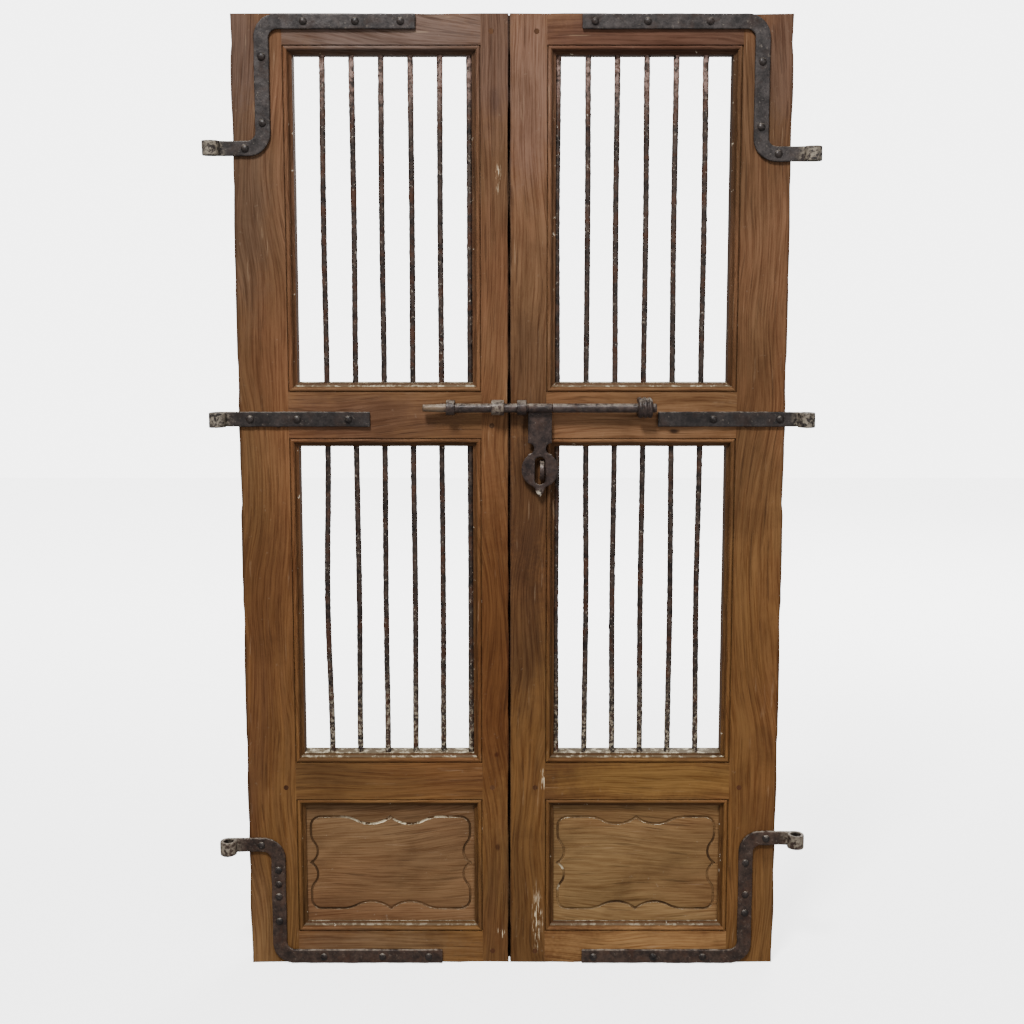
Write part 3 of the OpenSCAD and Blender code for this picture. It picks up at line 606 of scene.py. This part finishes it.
def rust_group():
    """Corroded iron: rust patches, pale scale specks, a pitted height and a mottled tone."""
    group, given = new_group("rust", ("Place",))
    place = given["Place"]
    rust = fade(group, mottle(group, place, 38.0, 7.0, 0.66, 0.4), 0.47, 0.66)
    pale = fade(group, mottle(group, shifted(group, place, (2, 5, 1)), 190.0, 5.0, 0.72), 0.60, 0.68)
    pit = mottle(group, place, 260.0, 5.0, 0.65)
    tone = mottle(group, shifted(group, place, (7, 1, 3)), 60.0, 8.0, 0.78)
    return given_out(group, Rust=rust, Pale=pale, Pit=pit, Tone=tone)


RUST = rust_group()


def iron(name, dark, light, rust_colour, rusty, scaly, dull=0.5, worn=()):
    """Forged iron with rust and scale. worn lists marks, of wear and paint and also the painted shade in
    eye bores: centre, reach, colour, strength, patchy or not.
    """
    material, tree, shader = new_material(name)
    place = object_place(tree)
    marks = grouped(tree, RUST, Place=place)
    colour = tint(tree, fade(tree, marks["Tone"], 0.36, 0.68), linear(dark), linear(light))
    colour = stained(tree, colour, marks["Rust"], rusty, rust_colour)
    colour = stained(tree, colour, marks["Pale"], scaly, IRON_SCALE)
    ragged = ragged_edge(tree, place)
    patches = fade(tree, mottle(tree, place, 150.0, 6.0, 0.7), 0.43, 0.57)
    for centre, reach, stain, strength, patchy in worn:
        mask = smudge(tree, place, ragged, centre, reach)
        if patchy:
            mask = times(tree, mask, patches)
        colour = stained(tree, colour, mask, strength, stain)
    # Upward faces of the iron turn pale: dust, and a painted highlight along the top edges.
    dust_and_highlight = times(tree, facing_up(tree), fade(tree, marks["Tone"], 0.40, 0.60))
    colour = stained(tree, colour, dust_and_highlight, 0.65, IRON_DUST_AND_HIGHLIGHT)
    rough = plus(tree, times(tree, marks["Rust"], 0.25), dull)
    wired(tree, shader, colour, rough, marks["Pit"], 0.55, 0.9 * MM)
    shader.inputs["Metallic"].default_value = IRON_METAL
    shader.inputs["Specular IOR Level"].default_value = IRON_SHINE
    return material


def bar_iron():
    """Iron of the bars, with paint at their heads and feet."""
    material = iron("bar_iron", "130D0B", "44372F", "4A2814", rusty=0.55, scaly=1.0)
    tree = material.node_tree
    base = tree.nodes["Principled BSDF"].inputs["Base Color"]
    place = object_place(tree)
    height = axes(tree, place)["Z"]
    head = fade(tree, mottle(tree, place, 120.0, 5.0, 0.7), 0.40, 0.60)
    head = times(tree, head, fade(tree, height, DOOR_H - 0.20, DOOR_H - 0.06))
    colour = tint(tree, head, base.links[0].from_socket, linear(BAR_HEAD_PAINT))
    specks = fade(tree, mottle(tree, place, 150.0, 6.0, 0.7), 0.50, 0.58)
    foot = times(tree, specks, fade(tree, height, LOWER_Z[0] + 0.20, LOWER_Z[0] + 0.01))
    tree.links.new(stained(tree, colour, foot, 0.75, BAR_FOOT_PAINT), base)
    return material


def bow(z, span, swing):
    """Sideways swing of a bar that is held at both ends of an opening."""
    share = (z - span[0]) / (span[1] - span[0])
    return swing * MM * math.sin(math.pi * share) ** 2 if 0 < share < 1 else 0.0


BAR_FINISH = bar_iron()
HAMMERED_ROD = cloud("hammered_rod", 6 * MM)
BOWS = {
    "left_bar_6": (-1.5, -5.0),
    "left_bar_5": (1.0, 1.5),
    "left_bar_4": (-1.0, -1.0),
    "left_bar_3": (0.8, 1.2),
    "left_bar_2": (-0.6, 0.8),
    "left_bar_1": (0.3, 0.3),
    "right_bar_1": (-1.4, -1.4),
    "right_bar_2": (0.7, 2.0),
    "right_bar_3": (-1.0, -1.6),
    "right_bar_4": (0.9, -1.5),
    "right_bar_5": (-1.1, 1.4),
    "right_bar_6": (1.2, -2.2),
}
HUGS = {"right_bar_1": -0.8}
for node, (upper_bow, lower_bow) in BOWS.items():
    low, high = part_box(node)
    middle = (low + high) / 2
    bpy.ops.object.select_all(action="DESELECT")
    bpy.ops.mesh.primitive_cylinder_add(
        vertices=BAR_SIDES, radius=BAR_R, depth=high.z - low.z, location=middle)
    bar = bpy.context.object
    bar.name = node + "_rod"
    bpy.ops.object.transform_apply(location=True, rotation=True, scale=True)
    sliced(bar, 2, BAR_STEP)
    waved(bar, HAMMERED_ROD, BAR_HAMMER, BAR_MIDDLE)
    for vertex in bar.data.vertices:
        vertex.co.x += bow(vertex.co.z, UPPER_Z, upper_bow) + bow(vertex.co.z, LOWER_Z, lower_bow)
        vertex.co.x += HUGS.get(node, 0.0) * MM
    bar.data.materials.append(BAR_FINISH)
    smoothed(bar, BAR_CREASE)
    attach(bar, "leaves")
    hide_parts(node)

# Strap hinges: flat iron forged hot, cranked on edge or left straight, with the end rolled into an eye.
# The hammer has left soft edges and a wavy face, and the eyes are rusted and pale with old paint.
STRAP_VOXEL = 1.6 * MM
STRAP_HAMMER = 1.5 * MM
EYE_REACH = (0.030, 0.04, 0.030)
EYE_PAINT = "A69A88"
BORE_SHADE = "0D0A09"
EYE_MARKS = []
for mount in frame["record"]["mounts"]:
    bore = 2 * mount["dims"]["r_mm"] * MM
    EYE_MARKS.append((mount["pos_m"], EYE_REACH, EYE_PAINT, 0.64, True))
    # Near-black round each hinge axis: painted shade inside the bore of the eye.
    EYE_MARKS.append((mount["pos_m"], (bore, bore, 0.06), BORE_SHADE, 0.95, False))
STRAP_LOOK = {
    "upper": ("1B1716", "3E3836", "352318", 0.30),
    "middle": ("151110", "332D2B", "32221A", 0.35),
    "lower": ("211814", "48382F", "44291A", 0.40),
}
STRAP_FINISH = {}
for row, look in STRAP_LOOK.items():
    STRAP_FINISH[row] = iron(row + "_strap_iron", *look, scaly=0.25, worn=EYE_MARKS)
FORGED = cloud("forged", 22 * MM)


def forged(node, name, voxel, hammer, finish, body="leaves"):
    """Remeshed copy of an iron node with soft edges and a hammered face."""
    piece = copied(node, name)
    piece.data.materials.append(finish)
    applied(piece, "REMESH", mode="VOXEL", voxel_size=voxel)
    applied(piece, "SMOOTH", factor=0.5, iterations=3)
    waved(piece, FORGED, hammer)
    contained(piece)
    select_only(piece)
    bpy.ops.object.shade_smooth()
    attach(piece, body)
    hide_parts(node)


CORNERS = ("upper_left", "upper_right", "middle_left", "middle_right", "lower_left", "lower_right")
for corner in CORNERS:
    finish = STRAP_FINISH[corner.split("_")[0]]
    forged(corner + "_strap", corner + "_forged_strap", STRAP_VOXEL, STRAP_HAMMER, finish)

# Nails: hand-forged iron, driven through the straps into the planks.
# Their round heads are beaten down on the straps, darker and smoother than these.
NAIL_VOXEL = 0.9 * MM
NAIL_HAMMER = 1.4 * MM
NAIL_FINISH = iron("nail_iron", "130F0E", "342D2A", "301E15", rusty=0.35, scaly=0.25, dull=0.40)
for corner in CORNERS:
    forged(corner + "_nails", corner + "_forged_nails", NAIL_VOXEL, NAIL_HAMMER, NAIL_FINISH)

# Slide bolt: a round rod in four iron bands, two on each leaf, the last a coil of thick wire.
# The hasp turns on the rod and drops over a staple; hands have worn rod and tip bright.
ROD_VOXEL = 1.1 * MM
ROD_HAMMER = 0.5 * MM
ROD_LOW, ROD_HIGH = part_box("bolt_rod")
ROD_TIP = (ROD_LOW.x + 0.02, ROD_LOW.y + 0.01, (ROD_LOW.z + ROD_HIGH.z) / 2)
ROD_RUB = (ROD_TIP, (0.036, 0.03, 0.03), "7A6650", 0.55, False)
ROD_FINISH = iron(
    "rod_iron", "1F1816", "473B37", "3C271B", rusty=0.35, scaly=0.20, dull=0.38, worn=(ROD_RUB,))
forged("bolt_rod", "bolt_forged_rod", ROD_VOXEL, ROD_HAMMER, ROD_FINISH, "bolt")
HASP_VOXEL = 1.1 * MM
HASP_HAMMER = 1.2 * MM
HASP_LOW, HASP_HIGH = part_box("hasp")
HASP_TIP = ((HASP_LOW.x + HASP_HIGH.x) / 2, HASP_HIGH.y, HASP_LOW.z + 0.004)
SEAM_LOW, SEAM_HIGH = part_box("left_seam_keeper")
HASP_RUBS = (
    (HASP_TIP, (0.016, 0.03, 0.014), "B8AC9A", 0.9, True),
    (tuple((SEAM_LOW + SEAM_HIGH) / 2), (0.020, 0.05, 0.035), "A39684", 0.38, True),
)
HASP_FINISH = iron(
    "hasp_iron", "1C1514", "41342F", "3C271B", rusty=0.40, scaly=0.22, dull=0.42, worn=HASP_RUBS)
forged("hasp", "forged_hasp", HASP_VOXEL, HASP_HAMMER, HASP_FINISH, "hasp")
BAND_VOXEL = 1.0 * MM
BAND_HAMMER = 0.9 * MM
for node in ("hasp_staple", "left_end_keeper", "left_seam_keeper", "right_seam_guide", "right_end_guide"):
    forged(node, "forged_" + node, BAND_VOXEL, BAND_HAMMER, HASP_FINISH)

# Studio: a pale floor and soft light, with the camera at the photo's viewing angle.
# The lens is at chest height and looks a little down, so that the uprights draw together towards the foot.
PITCH = math.radians(7.25)
DISTANCE = 2.5
EYE_LEVEL = 1.28
SENSOR = 36
FOCAL_PX = 1432
AXIS_PX = -67
FRAME_PX = 1024
WHITE = (1, 1, 1, 1)
FLOOR_GLOW = 2.6
FLOOR_GLOW_BEHIND = 1.6
BACKDROP_GLOW = 4.6
AIR_LIGHT = 0.5
AIR_GLOW = 4.1


def studio_sheet(name, size, place, turn, grey, rough, glow):
    """Large pale sheet that glows for the camera and sheds no light on the door."""
    bpy.ops.object.select_all(action="DESELECT")
    bpy.ops.mesh.primitive_plane_add(size=size, location=place, rotation=turn)
    sheet = bpy.context.object
    sheet.name = name
    sheet.visible_diffuse = False
    sheet.visible_glossy = False
    paint, tree, shader = new_material(name + "_paint")
    shader.inputs["Base Color"].default_value = (grey, grey, grey, 1)
    shader.inputs["Roughness"].default_value = rough
    shader.inputs["Emission Color"].default_value = WHITE
    shader.inputs["Emission Strength"].default_value = glow
    sheet.data.materials.append(paint)
    return sheet, tree, shader


floor, floor_tree, floor_shader = studio_sheet(
    "studio_floor", 30, (0, 0, 0), (0, 0, 0), grey=0.95, rough=0.9, glow=FLOOR_GLOW)
# The floor glows more the further back it lies: painted light that whitens the floor behind the door, where
# the door's shadow falls.
floor_depth = axes(floor_tree, object_place(floor_tree))["Y"]
floor_glow = times(floor_tree, fade(floor_tree, floor_depth, -0.3, 3.0), FLOOR_GLOW_BEHIND)
floor_glow = plus(floor_tree, floor_glow, FLOOR_GLOW)
floor_tree.links.new(floor_glow, floor_shader.inputs["Emission Strength"])
floor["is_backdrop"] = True
backdrop = studio_sheet(
    "studio_backdrop", 24, (0, 6, 0), (math.pi / 2, 0, 0), grey=0.9, rough=0.5, glow=BACKDROP_GLOW)[0]
backdrop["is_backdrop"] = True
world = bpy.data.worlds.new("studio_air")
world.use_nodes = True
air = world.node_tree.nodes["Background"]
air.inputs["Color"].default_value = WHITE
seen = put(world.node_tree, "ShaderNodeLightPath").outputs["Is Camera Ray"]
air_glow = plus(world.node_tree, times(world.node_tree, seen, AIR_GLOW), AIR_LIGHT)
world.node_tree.links.new(air_glow, air.inputs["Strength"])
bpy.context.scene.world = world


def soft_lamp(name, spot, aim, size, power):
    lamp = bpy.data.lights.new(name, "AREA")
    lamp.size = size
    lamp.energy = power
    holder = bpy.data.objects.new(name, lamp)
    holder.location = spot
    holder.rotation_euler = (Vector(aim) - Vector(spot)).to_track_quat("-Z", "Y").to_euler()
    bpy.context.scene.collection.objects.link(holder)


soft_lamp("key", spot=(-0.9, -2.7, 4.4), aim=(0, 0, 0.8), size=0.9, power=320)
soft_lamp("fill", spot=(2.6, -4.2, 1.6), aim=(0, 0, 0.7), size=2.4, power=60)
soft_lamp("back", spot=(1.6, 3.6, 3.0), aim=(0, 0, 0.8), size=2.0, power=130)
camera_data = bpy.data.cameras.new("photographer")
camera_data.sensor_width = SENSOR
camera_data.lens = SENSOR * FOCAL_PX / FRAME_PX
camera_data.shift_y = AXIS_PX / FRAME_PX
camera = bpy.data.objects.new("photographer", camera_data)
bpy.context.scene.collection.objects.link(camera)
camera.location = (0, FACE_Y - DISTANCE, EYE_LEVEL)
camera.rotation_euler = (math.pi / 2 - PITCH, 0, 0)
bpy.context.scene.camera = camera

low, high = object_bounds()
